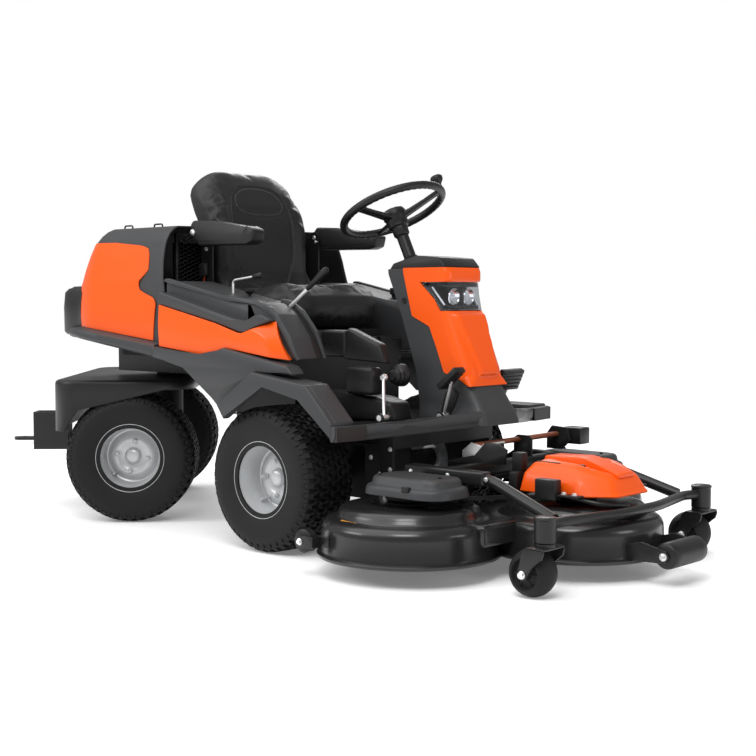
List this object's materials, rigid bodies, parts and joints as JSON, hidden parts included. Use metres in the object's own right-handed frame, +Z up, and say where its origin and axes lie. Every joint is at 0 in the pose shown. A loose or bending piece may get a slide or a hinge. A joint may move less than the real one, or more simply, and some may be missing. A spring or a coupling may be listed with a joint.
{
  "type": "ride-on mower",
  "caption": "Ride-on mower with a steered rear carriage, wide floating front deck with belt-driven blades, padded seat, steering wheel, tilting hood and caster wheels.",
  "frame": {"origin": "on the ground under the middle of the whole machine's length and width", "axes": "+X forward, towards the deck; +Y to the machine's left; +Z up"},
  "size_m": [2.8849, 1.346, 1.255],
  "materials": {
    "frame_black": "satin black paint on steel",
    "body_orange": "glossy orange",
    "body_grey": "satin dark grey",
    "trim_black": "fine grained black",
    "lens": "clear moulded lens",
    "engine_metal": "cast",
    "cast_black": "painted casting",
    "zinc": "zinc plated",
    "vinyl": "black grained vinyl over foam",
    "tyre": "matt rubber",
    "rim_silver": "silver paint",
    "deck_black": "glossy black paint",
    "rubber": "moulded rubber",
    "screen": "black mesh"
  },
  "bodies": {
    "chassis": {"main_frame": "frame_black", "front_transaxle": "cast_black", "foot_platform": "frame_black", "fender_flares": "body_grey", "side_panels": "body_orange", "side_console_right": "body_grey", "side_console_left": "body_grey", "seat_pedestal": "trim_black", "tower_shell": "body_grey", "tower_cover": "body_orange", "headlight_lens": "lens", "dash_cap": "trim_black", "steering_column": "frame_black", "engine": "engine_metal", "fuel_tank": "trim_black", "battery": "trim_black", "radiator_screen": "screen"},
    "seat": {"seat_frame": "frame_black", "seat_cushion": "vinyl", "seat_backrest": "vinyl"},
    "armrest_right": {"armrest_right": "trim_black"},
    "armrest_left": {"armrest_left": "trim_black"},
    "steering_wheel": {"steering_wheel": "trim_black"},
    "steering_knob": {"steering_knob": "trim_black"},
    "throttle_lever": {"throttle_lever": "zinc"},
    "lift_lever": {"lift_lever": "zinc"},
    "pto_knob": {"pto_knob": "trim_black"},
    "forward_pedal": {"forward_pedal": "frame_black"},
    "reverse_pedal": {"reverse_pedal": "zinc"},
    "brake_pedal": {"brake_pedal": "frame_black"},
    "hood": {"hood_shell": "body_grey", "hood_panels": "body_orange", "rear_grille": "trim_black"},
    "rear_carriage": {"rear_axle": "cast_black", "rear_fender": "trim_black", "tow_hitch": "zinc"},
    "front_right_wheel": {"front_right_tyre": "tyre", "front_right_rim": "rim_silver"},
    "front_left_wheel": {"front_left_tyre": "tyre", "front_left_rim": "rim_silver"},
    "rear_right_wheel": {"rear_right_tyre": "tyre", "rear_right_rim": "rim_silver"},
    "rear_left_wheel": {"rear_left_tyre": "tyre", "rear_left_rim": "rim_silver"},
    "deck": {"deck_shell": "deck_black", "deck_frame": "frame_black", "belt_cover": "body_orange", "side_belt_covers": "deck_black", "spindle_housings": "cast_black", "drive_belt": "rubber"},
    "blade_centre": {"blade_centre": "zinc"},
    "blade_right": {"blade_right": "zinc"},
    "blade_left": {"blade_left": "zinc"},
    "caster_fork_right": {"caster_fork_right": "frame_black"},
    "caster_fork_left": {"caster_fork_left": "frame_black"},
    "caster_wheel_right": {"caster_wheel_right": "rubber"},
    "caster_wheel_left": {"caster_wheel_left": "rubber"},
    "front_roller": {"front_roller": "rubber"},
    "rear_roller_right": {"rear_roller_right": "rubber"},
    "rear_roller_left": {"rear_roller_left": "rubber"}
  },
  "joints": [
    {"name": "seat_slide", "type": "slide", "parent": "chassis", "child": "seat", "axis": [1, 0, 0], "range_m": [0, 0.12]},
    {"name": "armrest_right_tilt", "type": "hinge", "parent": "seat", "child": "armrest_right", "pos_m": [-0.28755, 0, 1.016], "axis": [0, -1, 0], "range_deg": [0, 85]},
    {"name": "armrest_left_tilt", "type": "hinge", "parent": "seat", "child": "armrest_left", "pos_m": [-0.28755, 0, 1.016], "axis": [0, -1, 0], "range_deg": [0, 85]},
    {"name": "steering_turn", "type": "hinge", "parent": "chassis", "child": "steering_wheel", "pos_m": [0.33245, 0, 1.078], "axis": [-0.4384, 0, 0.8988], "range_deg": [-12, 892]},
    {"name": "steering_knob_spin", "type": "hinge", "parent": "steering_wheel", "child": "steering_knob", "pos_m": [0.45215, 0.10405, 1.13638], "axis": [-0.4384, 0, 0.8988], "continuous": true},
    {"name": "rear_steer", "type": "hinge", "parent": "chassis", "child": "rear_carriage", "pos_m": [-0.82455, 0, 0.5], "axis": [0, 0, 1], "range_deg": [-89, 1]},
    {"name": "throttle_turn", "type": "hinge", "parent": "chassis", "child": "throttle_lever", "pos_m": [-0.04655, -0.36, 0.79], "axis": [0, 0, 1], "range_deg": [-25, 25]},
    {"name": "lift_lever_tilt", "type": "hinge", "parent": "chassis", "child": "lift_lever", "pos_m": [0.04545, -0.36, 0.64], "axis": [0, 1, 0], "range_deg": [0, 38], "stiffness_Nm_per_rad": 20, "springref_deg": -8.59},
    {"name": "pto_pull", "type": "slide", "parent": "chassis", "child": "pto_knob", "axis": [0, 0, 1], "range_m": [0, 0.015]},
    {"name": "forward_pedal_press", "type": "hinge", "parent": "chassis", "child": "forward_pedal", "pos_m": [0.64545, -0.116, 0.43], "axis": [0, 1, 0], "range_deg": [0, 14], "stiffness_Nm_per_rad": 15, "springref_deg": -6.88},
    {"name": "reverse_pedal_press", "type": "hinge", "parent": "chassis", "child": "reverse_pedal", "pos_m": [0.55545, -0.29, 0.43], "axis": [0, 1, 0], "range_deg": [0, 14], "stiffness_Nm_per_rad": 15, "springref_deg": -6.88},
    {"name": "brake_pedal_press", "type": "hinge", "parent": "chassis", "child": "brake_pedal", "pos_m": [0.63545, 0.17, 0.43], "axis": [0, 1, 0], "range_deg": [0, 14], "stiffness_Nm_per_rad": 20, "springref_deg": -8.59},
    {"name": "hood_open", "type": "hinge", "parent": "chassis", "child": "hood", "pos_m": [-0.87955, 0, 0.64], "axis": [0, -1, 0], "range_deg": [0, 75]},
    {"name": "front_right_spin", "type": "hinge", "parent": "chassis", "child": "front_right_wheel", "pos_m": [0.21545, -0.392, 0.229], "axis": [0, 1, 0], "continuous": true},
    {"name": "front_left_spin", "type": "hinge", "parent": "chassis", "child": "front_left_wheel", "pos_m": [0.21545, 0.392, 0.229], "axis": [0, 1, 0], "continuous": true},
    {"name": "rear_right_spin", "type": "hinge", "parent": "rear_carriage", "child": "rear_right_wheel", "pos_m": [-0.61123, -0.33894, 0.229], "axis": [-0.6947, 0.7193, 0], "continuous": true},
    {"name": "rear_left_spin", "type": "hinge", "parent": "rear_carriage", "child": "rear_left_wheel", "pos_m": [-1.15584, 0.22502, 0.229], "axis": [-0.6947, 0.7193, 0], "continuous": true},
    {"name": "deck_lift", "type": "hinge", "parent": "chassis", "child": "deck", "pos_m": [0.52545, 0, 0.205], "axis": [0, -1, 0], "range_deg": [0, 8]},
    {"name": "blade_centre_spin", "type": "hinge", "parent": "deck", "child": "blade_centre", "pos_m": [1.05545, 0, 0.2], "axis": [0, 0, 1], "continuous": true},
    {"name": "blade_right_spin", "type": "hinge", "parent": "deck", "child": "blade_right", "pos_m": [0.74545, -0.39, 0.2], "axis": [0, 0, 1], "continuous": true},
    {"name": "blade_left_spin", "type": "hinge", "parent": "deck", "child": "blade_left", "pos_m": [0.74545, 0.39, 0.2], "axis": [0, 0, 1], "continuous": true},
    {"name": "caster_right_swivel", "type": "hinge", "parent": "deck", "child": "caster_fork_right", "pos_m": [1.23745, -0.412, 0.18], "axis": [0, 0, 1], "continuous": true},
    {"name": "caster_right_spin", "type": "hinge", "parent": "caster_fork_right", "child": "caster_wheel_right", "pos_m": [1.19945, -0.412, 0.066], "axis": [0, 1, 0], "continuous": true},
    {"name": "caster_left_swivel", "type": "hinge", "parent": "deck", "child": "caster_fork_left", "pos_m": [1.23745, 0.412, 0.18], "axis": [0, 0, 1], "continuous": true},
    {"name": "caster_left_spin", "type": "hinge", "parent": "caster_fork_left", "child": "caster_wheel_left", "pos_m": [1.19945, 0.412, 0.066], "axis": [0, 1, 0], "continuous": true},
    {"name": "front_roller_spin", "type": "hinge", "parent": "deck", "child": "front_roller", "pos_m": [1.40545, 0, 0.088], "axis": [0, 1, 0], "continuous": true},
    {"name": "rear_roller_right_spin", "type": "hinge", "parent": "deck", "child": "rear_roller_right", "pos_m": [0.57745, -0.643, 0.106], "axis": [0, 1, 0], "continuous": true},
    {"name": "rear_roller_left_spin", "type": "hinge", "parent": "deck", "child": "rear_roller_left", "pos_m": [0.57745, 0.643, 0.106], "axis": [0, 1, 0], "continuous": true}
  ],
  "couplings": [
    {"joint": "steering_turn", "follows": "rear_steer", "ratio": -10},
    {"joint": "blade_right_spin", "follows": "blade_centre_spin", "ratio": 1},
    {"joint": "blade_left_spin", "follows": "blade_centre_spin", "ratio": 1}
  ]
}
